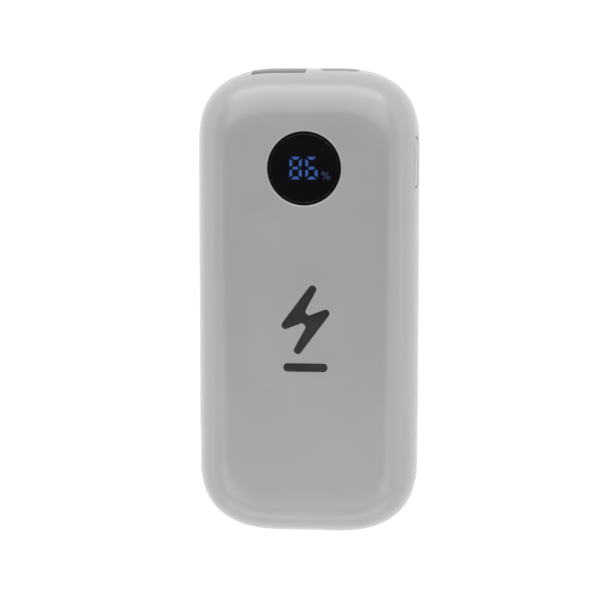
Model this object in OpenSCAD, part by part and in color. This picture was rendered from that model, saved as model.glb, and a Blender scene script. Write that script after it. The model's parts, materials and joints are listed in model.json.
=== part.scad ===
// Pocket power bank with a round charge display, lying on its back.
// X runs across the width, Y along the length with the sockets at +Y, and Z up through the display.
// The origin is the middle of the flat back face. All sizes are in millimetres.

/* [Casing] */
// Width of the casing
body_w = 55; // [54:0.5:58]
// Length of the casing
body_l = 116.4; // [115:0.2:120]
// Thickness of the casing
body_h = 27; // [27:0.5:29]
// Wall thickness of both shells
wall = 2; // [1.8:0.1:2.2]
// How far each long side curves in before it meets the flat faces
side_roll = 10.5; // [9.5:0.5:11]
// How far each end curves in before it meets the flat faces
end_roll = 13.5; // [12.5:0.5:14]

/* [Corners] */
// Reach of a corner curve across the width
corner_w = 20.8; // [19:0.2:22]
// Reach of a corner curve along the length
corner_l = 18.2; // [17:0.2:20]
// Fullness of a corner curve, where 2 is an ellipse
corner_power = 2.5; // [2.3:0.1:2.8]
// Segments in a quarter of the outline
corner_steps = 14; // [10:1:16]
// Segments from the parting line to a flat face
roll_steps = 9; // [7:1:10]

/* [Display] */
// Diameter of the round smoked window
lens_d = 17.8; // [17:0.2:18.4]
// Distance of the window and the button from the middle of the length
display_y = 34; // [33:0.5:35]
// Height of a lit digit
digit_h = 5.5; // [5.2:0.05:6]
// Width of a lit digit
digit_w = 3; // [2.8:0.1:3.3]

/* [Sockets] */
// Centre of the large rectangular socket across the width
usb_a_x = -7.1; // [-7.5:0.1:-6.7]
// Centre of the small oval socket across the width
usb_c_x = 7.9; // [7.5:0.1:9]

/* [Button] */
// Length of the side button
button_l = 12.2; // [11.6:0.2:12.8]
// Width of the side button
button_w = 3.1; // [2.9:0.1:3.3]
// How far the button travels when it is pressed
button_travel = 0.3; // [0.2:0.05:0.35]

/* [Cells] */
// Diameter of a wrapped cell
cell_d = 21.2; // [21:0.1:21.3]
// Length of a cell
cell_l = 70; // [69:0.5:70]

/* [Hidden] */
$fn = 48;

fit_gap = 0.2;      // clearance round a moving or inserted piece
overlap = 0.5;      // how far a joined feature reaches into its neighbour
mid_z = body_h / 2; // the parting plane

// Casing surface
roll_power = 2.5;       // fullness of the roll-off where it meets a flat face
rise_power = 2.1;       // fullness of the roll-off at the parting line
face_corner_w = 11;     // reach of a flat face's corner curve across the width
face_corner_l = 9;      // reach of a flat face's corner curve along the length
inner_roll_share = 0.4; // share of the wall by which the inner roll-off is shorter

// Parting joint
rebate_inset = 1;       // how far in from the outline the front shell is rebated
rebate_h = 1.1;
tongue_gap = 0.1;
tongue_t = 0.8;
catch_l = 5;
catch_t = 0.35;
catch_ys = [-30, 0, 24];

// Display stack, from the window down
lens_recess = 0.2;
lens_t = 1.2;
lens_step = [0.5, 0.25];   // width and depth of the border round the window's face
adhesive_t = 0.2;
ledge_w = 1;
seat_chamfer = 0.35;       // chamfer of the casing round the window
lens_top = body_h - lens_recess;
ledge_z = lens_top - lens_t - adhesive_t;
block_size = [15, 9.4, 5.4];
block_x = 1;
block_top = body_h - wall - 0.2;
block_z = block_top - block_size[2];
digit_xs = [-2.25, 1.65];
segment_t = 0.7;        // width of a lit bar
segment_h = 0.15;       // height of a lit bar on the block's face
percent_x = 5.15;
percent_h = 1.9;
pin_r = 0.25;
pin_xs = [-5, -2, 1, 4, 7];
pin_dy = 3.6;

// Board
board_t = 1.2;
board_top = mid_z + 0.3;
board_z = board_top - board_t;
board_back_y = 24.2;
board_inset = 3;
boss_r = 2.4;
pilot_r = 0.85;
screw_r = 0.8;
screw_hole_r = 1.2;
screw_head_r = 1.9;
screw_head_h = 1.3;
screw_l = 6;
boss_places = [[-20, 28], [20, 27.5], [8, 45.5], [-19.5, 43]];

// Sockets
sheet_t = 0.3;                  // sheet metal of the socket shells
usb_a_open = [13.2, 5.3];       // hole in the casing
usb_a_size = [13.1, 5.7, 14];   // width, height and depth of the metal shell
usb_a_z = board_top + 0.1 + usb_a_size[1] / 2;
usb_a_front = body_l / 2 - 2.5;
usb_a_tongue_size = [11.1, 1.84, 8.9];
usb_a_tongue_back = 1.5;        // how far the tongue stands back from the metal
usb_a_pin_xs = [-3.5, -1, 1, 3.5];
usb_c_open = [9.4, 3.6];
usb_c_size = [8.94, 3.16, 7.3];
usb_c_z = mid_z + 2.7;
usb_c_front = body_l / 2 - 1.1;
usb_c_tongue_size = [6.69, 0.7, 4.45];
usb_c_pins = 12;
usb_c_pitch = 0.5;

// Button and switch
button_y = display_y + 1.2;
button_z = mid_z + 4.8;
button_face_r = 16;
button_back_x = 23;             // inner face of the button's flange
button_flange = [0.8, 16.4];
boss_size = 3;
switch_size = [3.5, 6, 6];      // depth, length and height of the switch
plunger_r = 1.7;
plunger_z = button_z - 0.4;
plunger_out = 1;                // how far the plunger stands out of the switch
switch_x = button_back_x - 2.4; // face of the switch
plunger_room = 1.1;

// Cells
cell_r = cell_d / 2;
cell_x = cell_r + 0.3;
cell_back_y = -48.5;
cell_front_y = cell_back_y + cell_l;
sleeve_t = 0.2;
cap_r = 4;
cap_h = 1.2;
strip_t = 0.2;
strip_size = [30, 7];
rib_t = 1.2;
pad_t = 0.8;
pad_size = [31, 44];
pad_y = -14;

// Wire routes from the strips to the board
lead_r = 0.8;
lead_sides = 8;
lead_steps = 4;
positive_route = [[5, 22.6, 17.4], [5, 22.7, 19], [4.5, 24.4, 20.2], [3.5, 26.6, 18], [3.5, 27, 14.4]];
negative_route = [[0, -49.7, 15], [0, -50.4, 18], [0, -48.5, 20.5], [0, -40, 21], [0, -20, 21],
    [0, 0, 21], [0, 15, 21], [-1.5, 21, 20.8], [-3.5, 25.5, 18.5], [-3.5, 27, 14.4]];
thermistor_route = [[0, 6, 19.3], [0, 14, 19.3], [0, 21, 19.2], [0.2, 25.5, 17.5], [0.2, 26.8, 14.2]];
thermistor_bead = [2.4, 5, 1.6];
thermistor_wire_r = 0.35;

// ---- Casing surface ----

function signs(q) = [[1, 1], [-1, 1], [-1, -1], [1, -1]][q];

// One closed outline: half width a, half length b, corner reaches rx and ry.
function outline(a, b, rx, ry) = [for (q = [0:3]) for (i = [0:corner_steps])
    let (u = 90 * (q % 2 == 0 ? i : corner_steps - i) / corner_steps, e = 2 / corner_power)
    [signs(q)[0] * (a - rx + rx * pow(cos(u), e)), signs(q)[1] * (b - ry + ry * pow(sin(u), e))]];

// The casing's outline at the parting plane, moved in by an inset.
function parting_outline(inset) =
    outline(body_w / 2 - inset, body_l / 2 - inset, corner_w - inset, corner_l - inset);

// Height above the parting plane and share of the roll-off at step i.
function rise(i, h) = h * pow(sin(90 * i / roll_steps), 2 / rise_power);
function roll(i) = 1 - pow(cos(90 * i / roll_steps), 2 / roll_power);

// The outline at roll-off step i of the surface that lies an inset inside the casing.
function ring(i, inset) = let (f = roll(i), less = inset * inner_roll_share)
    [for (p = outline(body_w / 2 - inset - f * (side_roll - less),
                      body_l / 2 - inset - f * (end_roll - less),
                      corner_w - inset - f * (corner_w - face_corner_w),
                      corner_l - inset - f * (corner_l - face_corner_l)))
        [p[0], p[1], rise(i, body_h / 2 - inset)]];

// Outer width of the casing at a height above the parting plane.
function side_x(z) = let (fall = 1 - pow(abs(z) / (body_h / 2), rise_power))
    body_w / 2 - side_roll * (1 - pow(fall, 1 / roll_power));

// One hollow half of the casing above the parting plane, as one closed surface. It is a stack of
// rings: down the outside, along the rim's steps of inset and height, and up the inside.
module half_shell(rim) {
    count = 4 * (corner_steps + 1);
    rings = [
        for (i = [roll_steps:-1:0]) ring(i, 0),
        for (step = rim) [for (p = parting_outline(step[0])) [p[0], p[1], step[1]]],
        for (i = [1:roll_steps]) ring(i, wall)];
    last = len(rings) - 1;
    function at(j, k) = j * count + k % count;
    polyhedron(points = [for (r = rings) each r], faces = [
        for (j = [0:last - 1]) for (k = [0:count - 1]) each [
            [at(j + 1, k), at(j, k), at(j, k + 1)],
            [at(j + 1, k), at(j, k + 1), at(j + 1, k + 1)]],
        [for (k = [count - 1:-1:0]) at(0, k)],
        [for (k = [0:count - 1]) at(last, k)]]);
}

// A rectangle w by h with corners of radius r.
module rounded_rectangle(w, h, r) {
    for (sx = [-1, 1]) for (sy = [-1, 1]) translate([sx * (w / 2 - r), sy * (h / 2 - r)]) circle(r);
    square([w - 2 * r, h], center = true);
    square([w, h - 2 * r], center = true);
}

// A slot with round ends, smaller all round than its size by less.
module oval(size, less = 0)
    rounded_rectangle(size[0] - 2 * less, size[1] - 2 * less, size[1] / 2 - less - 0.01);

// A plate in the XZ plane whose back is at y, and whose outline is the child shape.
module along_y(y, depth) translate([0, y + depth, 0]) rotate([90, 0, 0]) linear_extrude(depth) children();

// A prism along X from x, whose outline is the child shape with its width along Y.
module along_x(x, depth) translate([x, 0, 0]) rotate([90, 0, 90]) linear_extrude(depth) children();

module at_usb_a() translate([usb_a_x, 0, usb_a_z]) children();
module at_usb_c() translate([usb_c_x, 0, usb_c_z]) children();
module at_button() translate([0, button_y, button_z]) children();

// ---- Casing ----

module socket_holes() {
    at_usb_a() {
        along_y(body_l / 2 - 6, 10) rounded_rectangle(usb_a_open[0], usb_a_open[1], 0.7);
        along_y(usb_a_front - 8, 8 + 0.1) square([usb_a_size[0] + 0.3, usb_a_size[1] + 0.3], center = true);
    }
    at_usb_c() along_y(body_l / 2 - 6, 10) oval(usb_c_open, 0);
}

module lens_seat() translate([0, display_y, 0]) {
    translate([0, 0, ledge_z]) cylinder(r = lens_d / 2 + 0.1, h = body_h);
    translate([0, 0, ledge_z - wall]) cylinder(r = lens_d / 2 - ledge_w, h = body_h);
    translate([0, 0, body_h - seat_chamfer])
        cylinder(r1 = lens_d / 2 + 0.1, r2 = lens_d / 2 + 0.1 + 2 * seat_chamfer, h = 2 * seat_chamfer);
}

module button_hole() at_button()
    along_x(button_back_x + button_flange[0], 8) oval([button_l, button_w], -fit_gap);

// Pads inside the wall that the button's flange rests against.
module button_stops() at_button() for (s = [-1, 1])
    translate([button_back_x + button_flange[0] + 0.05, s * (button_l / 2 + 1.2) - 0.7, -button_w / 2])
        cube([1.6, 1.4, button_w]);

module board_bosses() for (p = boss_places) translate([p[0], p[1], board_top])
    cylinder(r = boss_r, h = body_h - wall - board_top + overlap);

module screw_pilots() for (p = boss_places) translate([p[0], p[1], board_top - 1])
    cylinder(r = pilot_r, h = screw_l);

// Pockets in the rebate for the back shell's catches.
module catch_pockets() for (s = [-1, 1]) for (y = catch_ys)
    translate([s * (body_w / 2 - rebate_inset), y, mid_z + 0.7]) cube([1, catch_l + 0.6, 0.9], center = true);

// The front shell's rim is rebated for the back shell's tongue.
front_rim = [[rebate_inset, 0], [rebate_inset, rebate_h], [wall, rebate_h]];

module front_shell() color("silver") difference() {
    union() {
        translate([0, 0, mid_z]) half_shell(front_rim);
        board_bosses();
        button_stops();
    }
    catch_pockets();
    lens_seat();
    socket_holes();
    button_hole();
    screw_pilots();
}

// The back shell's rim carries a tongue that stands up into the rebate.
tongue_inset = rebate_inset + tongue_gap;
tongue_top = tongue_gap - rebate_h;
back_rim = [[tongue_inset, 0], [tongue_inset, tongue_top], [tongue_inset + tongue_t, tongue_top], [wall, 0]];

// Snap catches on the tongue's long sides.
module catches() for (s = [-1, 1]) for (y = catch_ys)
    translate([s * (body_w / 2 - tongue_inset), y, mid_z + 0.7])
        cube([2 * catch_t, catch_l, 0.6], center = true);

module at_cells() for (s = [-1, 1]) translate([s * cell_x, cell_back_y, mid_z]) children();

module cell_ribs() difference() {
    union() for (y = [cell_back_y + 5, cell_front_y - 6])
        translate([-body_w / 2 + 6.5, y, 1.2]) cube([body_w - 13, rib_t, 6.8]);
    at_cells() translate([0, -1, 0]) rotate([-90, 0, 0]) cylinder(r = cell_r + 0.1, h = cell_l + 2);
}

// Low walls at both ends of the cells.
module cell_stops() {
    translate([-12, cell_back_y - 3.2, 3.2]) cube([24, rib_t, 6]);
    translate([-19, cell_front_y + 0.8, 1.2]) cube([38, rib_t, 9]);
}

module back_shell() color("silver") difference() {
    union() {
        translate([0, 0, mid_z]) mirror([0, 0, 1]) half_shell(back_rim);
        catches();
        cell_ribs();
        cell_stops();
    }
    socket_holes();
}

// ---- Display ----

module display_lens() color([0.02, 0.02, 0.03]) translate([0, display_y, lens_top - lens_t]) {
    cylinder(r = lens_d / 2, h = lens_t - lens_step[1]);
    cylinder(r = lens_d / 2 - lens_step[0], h = lens_t);
}

module lens_adhesive() color("black") translate([0, display_y, ledge_z]) difference() {
    cylinder(r = lens_d / 2 - 0.1, h = adhesive_t);
    translate([0, 0, -1]) cylinder(r = lens_d / 2 - ledge_w, h = 2);
}

// Light-blocking foam frame between the digit block and the window.
module display_gasket() color([0.05, 0.05, 0.05]) translate([0, display_y, block_top]) difference() {
    cylinder(r = lens_d / 2 - ledge_w - 0.1, h = lens_top - lens_t - block_top);
    intersection() {
        translate([-4.4, -3.5, -1]) cube([11.8, 7, 3]);
        translate([0, 0, -1]) cylinder(r = lens_d / 2 - ledge_w - 0.6, h = 3);
    }
}

module display_block() color([0.06, 0.06, 0.06])
    translate([block_x - block_size[0] / 2, display_y - block_size[1] / 2, block_z]) cube(block_size);

function mirrored(points, sx, sy) = [for (p = points) [sx * p[0], sy * p[1]]];

// A digit's seven mitred bars: top, upper right, lower right, bottom, lower left, upper left, middle.
function bars() = let (w = digit_w / 2, h = digit_h / 2, t = segment_t)
    let (top = [[-1.05, h], [1.05, h], [0.45, h - t], [-0.45, h - t]])
    let (side = [[w, h - 0.5], [w, 0.6], [w - t / 2, 0.35], [w - t, 0.65], [w - t, h - 1.05]])
    let (middle = [[-0.8, 0], [-0.5, t / 2], [0.5, t / 2], [0.8, 0], [0.5, -t / 2], [-0.5, -t / 2]])
    [top, side, mirrored(side, 1, -1), mirrored(top, 1, -1), mirrored(side, -1, -1),
        mirrored(side, -1, 1), middle];

module digit(lit) for (i = lit) linear_extrude(segment_h) polygon(bars()[i]);

module at_digits() translate([0, display_y, block_top]) children();

// The charge reads 86.
module digit_segments() color([0.25, 0.45, 0.9]) at_digits() {
    translate([digit_xs[0], 0, 0]) digit([0:6]);
    translate([digit_xs[1], 0, 0]) digit([0, 2, 3, 4, 5, 6]);
}

module percent_symbol() color([0.25, 0.45, 0.9]) at_digits()
    translate([percent_x, percent_h / 2 - digit_h / 2, 0]) linear_extrude(segment_h) {
        for (s = [-1, 1]) translate([s * 0.63, -s * 0.52]) difference() {
            circle(0.45);
            circle(0.26);
        }
        rotate(-32) square([0.17, percent_h + 0.3], center = true);
    }

module display_pins() color("gold") for (x = pin_xs) for (s = [-1, 1])
    translate([x, display_y + s * pin_dy, board_z - 0.8]) cylinder(r = pin_r, h = block_z - board_z + 0.8);

module solder_joints() color("gainsboro") for (x = pin_xs) for (s = [-1, 1])
    translate([x, display_y + s * pin_dy, board_z - 0.6]) difference() {
        cylinder(r1 = 0.35, r2 = 0.75, h = 0.6);
        translate([0, 0, -1]) cylinder(r = pin_r, h = 3);
    }

// ---- Button and switch ----

// The button's outer face is part of a large cylinder that follows the casing's side.
module button_face() {
    x = side_x(button_z - mid_z);
    slope = (side_x(button_z - mid_z + 0.5) - side_x(button_z - mid_z - 0.5));
    tilt = atan(-slope);
    translate([x - button_face_r * cos(tilt), -button_l, -button_face_r * sin(tilt)])
        rotate([-90, 0, 0]) cylinder(r = button_face_r, h = 2 * button_l, $fn = 96);
}

module power_button() color("silver") at_button() {
    intersection() {
        along_x(button_back_x + button_flange[0] - 0.2, 8) oval([button_l, button_w]);
        button_face();
    }
    translate([button_back_x, -button_flange[1] / 2, -button_w / 2])
        cube([button_flange[0], button_flange[1], button_w]);
    translate([switch_x + plunger_out + 0.05, -boss_size / 2, plunger_z - button_z - boss_size / 2 + 0.15])
        cube([button_back_x - switch_x - plunger_out, boss_size, boss_size]);
}

module at_switch() translate([switch_x, button_y, plunger_z]) children();

module switch_body() color([0.1, 0.1, 0.1]) at_switch() difference() {
    translate([-switch_size[0], -switch_size[1] / 2, board_top - plunger_z]) cube(switch_size);
    translate([-plunger_room, 0, 0]) rotate([0, 90, 0]) cylinder(r = plunger_r + 0.1, h = plunger_room + 1);
}

// Sheet-metal clip over the switch, with two legs on the board.
module switch_bracket() color("silver") at_switch() difference() {
    translate([-switch_size[0] - sheet_t, -switch_size[1] / 2 - sheet_t, board_top - plunger_z])
        cube([switch_size[0] + sheet_t, switch_size[1] + 2 * sheet_t, switch_size[2] + sheet_t]);
    translate([-switch_size[0], -switch_size[1] / 2, board_top - plunger_z - 1])
        cube([switch_size[0] + 1, switch_size[1], switch_size[2] + 1]);
    translate([-switch_size[0] - 1, -switch_size[1] / 2 + 1, board_top - plunger_z - 1])
        cube([2, switch_size[1] - 2, switch_size[2]]);
}

module switch_plunger() color([0.15, 0.15, 0.15]) at_switch()
    translate([-plunger_room + button_travel + 0.1, 0, 0]) rotate([0, 90, 0])
        cylinder(r = plunger_r, h = plunger_room - button_travel - 0.1 + plunger_out);

// ---- Sockets ----

module usb_a_shell() color("lightgray") at_usb_a() difference() {
    along_y(usb_a_front - usb_a_size[2], usb_a_size[2]) rounded_rectangle(usb_a_size[0], usb_a_size[1], 0.5);
    along_y(usb_a_front - usb_a_size[2] + sheet_t, usb_a_size[2])
        rounded_rectangle(usb_a_size[0] - 2 * sheet_t, usb_a_size[1] - 2 * sheet_t, 0.2);
}

// Where the tongue's lower face is, from the socket's axis.
function usb_a_tongue_low() = usb_a_size[1] / 2 - sheet_t - 0.7 - usb_a_tongue_size[1];

module usb_a_tongue() color([0.08, 0.08, 0.08]) at_usb_a() {
    base = usb_a_size[2] - usb_a_tongue_back - usb_a_tongue_size[2] - sheet_t;
    back = usb_a_front - usb_a_size[2] + sheet_t;
    inside = 2 * sheet_t + 0.2;
    along_y(back, base) square([usb_a_size[0] - inside, usb_a_size[1] - inside], center = true);
    translate([-usb_a_tongue_size[0] / 2, back + base - overlap, usb_a_tongue_low()])
        cube([usb_a_tongue_size[0], usb_a_tongue_size[2] + overlap, usb_a_tongue_size[1]]);
}

module usb_a_contacts() color("gold") at_usb_a() for (x = usb_a_pin_xs)
    translate([x - 0.55, usb_a_front - usb_a_tongue_back - 8, usb_a_tongue_low() - 0.15])
        cube([1.1, 7.2, 0.15]);

module usb_c_shell() color("lightgray") at_usb_c() {
    difference() {
        along_y(usb_c_front - usb_c_size[2], usb_c_size[2]) oval(usb_c_size);
        along_y(usb_c_front - usb_c_size[2] + sheet_t, usb_c_size[2]) oval(usb_c_size, sheet_t);
    }
    for (s = [-1, 1]) for (y = [1.5, 5])
        translate([s * 2.6 - 0.4, usb_c_front - usb_c_size[2] + y, board_top - usb_c_z])
            cube([0.8, 1, usb_c_z - board_top - usb_c_size[1] / 2 + 0.15]);
}

module usb_c_tongue() color([0.08, 0.08, 0.08]) at_usb_c() {
    base = 1.6;
    back = usb_c_front - usb_c_size[2] + sheet_t;
    along_y(back, base) oval(usb_c_size, sheet_t + 0.05);
    translate([-usb_c_tongue_size[0] / 2, back + base - 0.2, -usb_c_tongue_size[1] / 2])
        cube([usb_c_tongue_size[0], usb_c_tongue_size[2] + 0.2, usb_c_tongue_size[1]]);
}

module usb_c_contacts() color("gold") at_usb_c() for (side = [-1, 1]) for (i = [0:usb_c_pins - 1])
    translate([(i - (usb_c_pins - 1) / 2) * usb_c_pitch - 0.125, usb_c_front - usb_c_size[2] + sheet_t + 1.8,
        side * (usb_c_tongue_size[1] / 2 + 0.025) - 0.025]) cube([0.25, 3.6, 0.05]);

// ---- Board ----

module main_board() color([0.05, 0.3, 0.15]) difference() {
    translate([0, 0, board_z]) linear_extrude(board_t) intersection() {
        polygon(parting_outline(board_inset));
        translate([-body_w / 2, board_back_y]) square([body_w, body_l]);
    }
    for (p = boss_places) translate([p[0], p[1], board_z - 1]) cylinder(r = screw_hole_r, h = board_t + 2);
    for (x = pin_xs) for (s = [-1, 1]) translate([x, display_y + s * pin_dy, board_z - 1])
        cylinder(r = pin_r + 0.1, h = board_t + 2);
}

// Self-tapping screws from under the board into the front shell's bosses.
module board_screws() color("gray") for (p = boss_places) translate([p[0], p[1], board_z]) difference() {
    union() {
        translate([0, 0, -screw_head_h]) cylinder(r = screw_head_r, h = screw_head_h);
        cylinder(r = screw_r, h = screw_l - 1);
    }
    for (a = [0, 90]) translate([0, 0, -screw_head_h]) rotate(a) cube([2.2, 0.5, 1.4], center = true);
}

inductor_place = [-15, 35.5];

module inductor_core() color([0.2, 0.2, 0.2]) translate([inductor_place[0], inductor_place[1], board_top]) {
    cylinder(r = 3.9, h = 0.8);
    translate([0, 0, 0.8]) cylinder(r = 1.8, h = 2.8);
    translate([0, 0, 3.6]) cylinder(r = 3.9, h = 0.8);
}

module inductor_winding() color([0.7, 0.35, 0.15])
    translate([inductor_place[0], inductor_place[1], board_top + 0.8]) rotate_extrude()
        for (i = [0:3]) for (j = [0:2]) translate([2.2 + j * 0.62, 0.35 + i * 0.7]) circle(0.3, $fn = 24);

module chip(x, y, size) translate([x - size[0] / 2, y - size[1] / 2, board_top]) cube(size);

module charge_controller() color([0.08, 0.08, 0.08]) chip(3, 42.5, [5, 5, 0.9]);

mosfet_places = [[12.5, 30], [12.5, 36], [-9.5, 27]];
module mosfets() color([0.1, 0.1, 0.1]) for (p = mosfet_places) chip(p[0], p[1], [4.9, 3.9, 1.4]);

capacitor_places = [[-8, 31], [-8, 33.5], [-8, 36], [-8, 38.5], [13, 41], [13, 44], [16.5, 44],
    [2.2, 52], [2.2, 54]];

module chip_capacitors() color([0.6, 0.45, 0.3]) for (p = capacitor_places) chip(p[0], p[1], [2, 1.25, 0.9]);

module chip_resistors() color([0.1, 0.1, 0.1]) for (i = [0:4]) for (j = [0:1])
    chip(-2.5 + 2.4 * i, 31.8 + 2.2 * j, [1.6, 0.8, 0.45]);

// ---- Cells ----

module cell_can() color("silver") translate([0, sleeve_t, 0]) rotate([-90, 0, 0])
    cylinder(r = cell_r - sleeve_t, h = cell_l - cap_h - sleeve_t);

module cell_cap() color("gainsboro") translate([0, cell_l - cap_h, 0]) rotate([-90, 0, 0]) {
    cylinder(r = cap_r, h = cap_h - 0.3);
    translate([0, 0, cap_h - 0.3]) cylinder(r1 = cap_r, r2 = cap_r - 0.3, h = 0.3);
}

module cell_insulator() color("white") translate([0, cell_l - cap_h, 0]) rotate([-90, 0, 0]) difference() {
    cylinder(r = cell_r - sleeve_t - 0.1, h = 0.3);
    translate([0, 0, -1]) cylinder(r = cap_r + 0.4, h = 3);
}

// Heat-shrink sleeve, turned in over both ends of the can.
module cell_sleeve() color([0.1, 0.45, 0.65]) rotate([-90, 0, 0]) rotate_extrude() difference() {
    square([cell_r, cell_l - cap_h + 0.3 + sleeve_t]);
    translate([-1, -1]) square([cell_r - 1, cell_l + 9]);
    translate([0, sleeve_t]) square([cell_r - sleeve_t, cell_l - cap_h + 0.3 - sleeve_t]);
}

module left_cell() translate([-cell_x, cell_back_y, mid_z]) children();
module right_cell() translate([cell_x, cell_back_y, mid_z]) children();

// Nickel strip across both cells, with its back at y.
module strip(y) translate([-strip_size[0] / 2, y, mid_z - strip_size[1] / 2])
    cube([strip_size[0], strip_t, strip_size[1]]);

module positive_strip() color("lightgray") {
    strip(cell_front_y);
    translate([3.4, cell_front_y, mid_z + strip_size[1] / 2 - 0.01]) cube([3.2, strip_t, 2]);
}

module negative_strip() color("lightgray") strip(cell_back_y - strip_t);

// ---- Wires ----

function catmull(a, b, c, d, t) = 0.5 * (2 * b + (c - a) * t + (2 * a - 5 * b + 4 * c - d) * t * t
    + (3 * b - a - 3 * c + d) * t * t * t);

// A smooth line through the route's points.
function smooth(route) = let (n = len(route) - 1) [for (i = [0:n - 1]) for (s = [0:lead_steps - 1])
    catmull(route[max(i - 1, 0)], route[i], route[i + 1], route[min(i + 2, n)], s / lead_steps), route[n]];

// A round tube along a line, as one closed surface.
module tube(line, r) {
    n = len(line);
    function along(i) = let (d = line[min(i + 1, n - 1)] - line[max(i - 1, 0)]) d / norm(d);
    function across(i) = let (c = cross(along(i), [1, 0.05, 0])) c / norm(c);
    function at(i, k) = i * lead_sides + k % lead_sides;
    points = [for (i = [0:n - 1]) for (k = [0:lead_sides - 1]) let (a = 360 * k / lead_sides)
        line[i] + r * (cos(a) * across(i) + sin(a) * cross(along(i), across(i)))];
    polyhedron(points = points, faces = [
        for (i = [0:n - 2]) for (k = [0:lead_sides - 1]) each [
            [at(i, k), at(i + 1, k + 1), at(i, k + 1)],
            [at(i, k), at(i + 1, k), at(i + 1, k + 1)]],
        [for (k = [0:lead_sides - 1]) at(0, k)],
        [for (k = [lead_sides - 1:-1:0]) at(n - 1, k)]]);
}

module positive_lead() color([0.75, 0.08, 0.08]) tube(smooth(positive_route), lead_r);
module negative_lead() color([0.08, 0.08, 0.08]) tube(smooth(negative_route), lead_r);

// Glass-bead sensor beside the cells, with its pair of wires to the board.
module thermistor() color([0.1, 0.1, 0.1]) {
    translate(thermistor_route[0] - [0, thermistor_bead[1] / 2, 0]) cube(thermistor_bead, center = true);
    for (s = [-1, 1]) translate([s * 0.5, -0.3, 0]) tube(smooth(thermistor_route), thermistor_wire_r);
}

// ---- Foam ----

module foam_pad(z) color([0.15, 0.15, 0.15])
    translate([-pad_size[0] / 2, pad_y - pad_size[1] / 2, z]) cube([pad_size[0], pad_size[1], pad_t]);

module front_foam_pad() foam_pad(body_h - wall - pad_t - 0.02);
module back_foam_pad() foam_pad(wall + 0.02);

front_shell();
back_shell();
display_lens();
lens_adhesive();
display_gasket();
display_block();
digit_segments();
percent_symbol();
display_pins();
power_button();
switch_body();
switch_bracket();
switch_plunger();
usb_a_shell();
usb_a_tongue();
usb_a_contacts();
usb_c_shell();
usb_c_tongue();
usb_c_contacts();
main_board();
board_screws();
solder_joints();
inductor_core();
inductor_winding();
charge_controller();
mosfets();
chip_capacitors();
chip_resistors();
left_cell() cell_can();  // left_cell_can
left_cell() cell_cap();  // left_cell_cap
left_cell() cell_insulator();  // left_cell_insulator
left_cell() cell_sleeve();  // left_cell_sleeve
right_cell() cell_can();  // right_cell_can
right_cell() cell_cap();  // right_cell_cap
right_cell() cell_insulator();  // right_cell_insulator
right_cell() cell_sleeve();  // right_cell_sleeve
positive_strip();
negative_strip();
positive_lead();
negative_lead();
thermistor();
front_foam_pad();
back_foam_pad();
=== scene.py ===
"""A pocket power bank on its back: two glossy shells, a smoked display, a side button and two sockets.

The casing's surface is a formula, the same one that the CAD shells follow. Each shell is a grid of rows, by
height, and columns, round the outline, on that surface. Where a socket or the button goes through, a block of
the grid gives way to rings that run from the block's edge to the rim of the hole.
"""

import json
import math

import bmesh
import bpy
from mathutils import Matrix, Vector


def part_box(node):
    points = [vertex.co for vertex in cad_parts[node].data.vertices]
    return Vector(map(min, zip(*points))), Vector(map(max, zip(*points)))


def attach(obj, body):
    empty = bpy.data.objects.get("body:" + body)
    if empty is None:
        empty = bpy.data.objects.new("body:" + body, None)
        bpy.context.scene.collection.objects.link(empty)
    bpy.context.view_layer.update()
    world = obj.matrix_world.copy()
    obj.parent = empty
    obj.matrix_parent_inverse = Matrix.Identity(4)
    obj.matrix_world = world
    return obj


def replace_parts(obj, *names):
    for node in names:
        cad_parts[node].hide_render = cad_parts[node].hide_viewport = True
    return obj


MM = 0.001

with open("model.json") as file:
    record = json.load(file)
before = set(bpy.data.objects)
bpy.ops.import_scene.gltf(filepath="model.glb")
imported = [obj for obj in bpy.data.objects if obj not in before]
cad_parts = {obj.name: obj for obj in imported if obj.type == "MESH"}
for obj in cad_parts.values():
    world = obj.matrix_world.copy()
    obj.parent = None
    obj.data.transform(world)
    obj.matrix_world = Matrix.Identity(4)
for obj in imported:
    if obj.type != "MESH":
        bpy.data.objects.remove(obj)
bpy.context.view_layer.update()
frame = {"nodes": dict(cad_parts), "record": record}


# ---- Sizes: boxes of the CAD nodes, in millimetres, and the shape of the casing ----


def box_mm(node):
    """The lowest and highest corner of a CAD node, in millimetres."""
    lo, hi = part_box(node)
    return Vector(lo) / MM, Vector(hi) / MM


FRONT_LO, FRONT_HI = box_mm("front_shell")
LENS_LO, LENS_HI = box_mm("display_lens")
BUTTON_LO, BUTTON_HI = box_mm("power_button")
USB_A_LO, USB_A_HI = box_mm("usb_a_shell")
TONGUE_A_LO, TONGUE_A_HI = box_mm("usb_a_tongue")
PINS_A_LO, PINS_A_HI = box_mm("usb_a_contacts")
USB_C_LO, USB_C_HI = box_mm("usb_c_shell")
TONGUE_C_LO, TONGUE_C_HI = box_mm("usb_c_tongue")
PINS_C_LO, PINS_C_HI = box_mm("usb_c_contacts")

TOP = FRONT_HI.z
MID = FRONT_LO.z
HALF_W = FRONT_HI.x
HALF_L = FRONT_HI.y
HALF_H = TOP - MID
WALL = 2.0

# The outline's corners at the parting plane and on the faces, and how far the sides roll in, along X and Y.
CORNER = (20.8, 18.2)
FACE_CORNER = (11.0, 9.0)
ROLL = (10.5, 13.5)
CORNER_POWER = 2.5
ROLL_POWER = 2.5
RISE_POWER = 2.1
INNER_ROLL_SHARE = 0.4

# Where the shells meet: a rebate inside the front shell's rim takes a tongue on the back shell.
PART_BEVEL = 0.1
REBATE_INSET = 1.0
REBATE_H = 1.1
TONGUE_GAP = 0.1
TONGUE_T = 0.8

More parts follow.
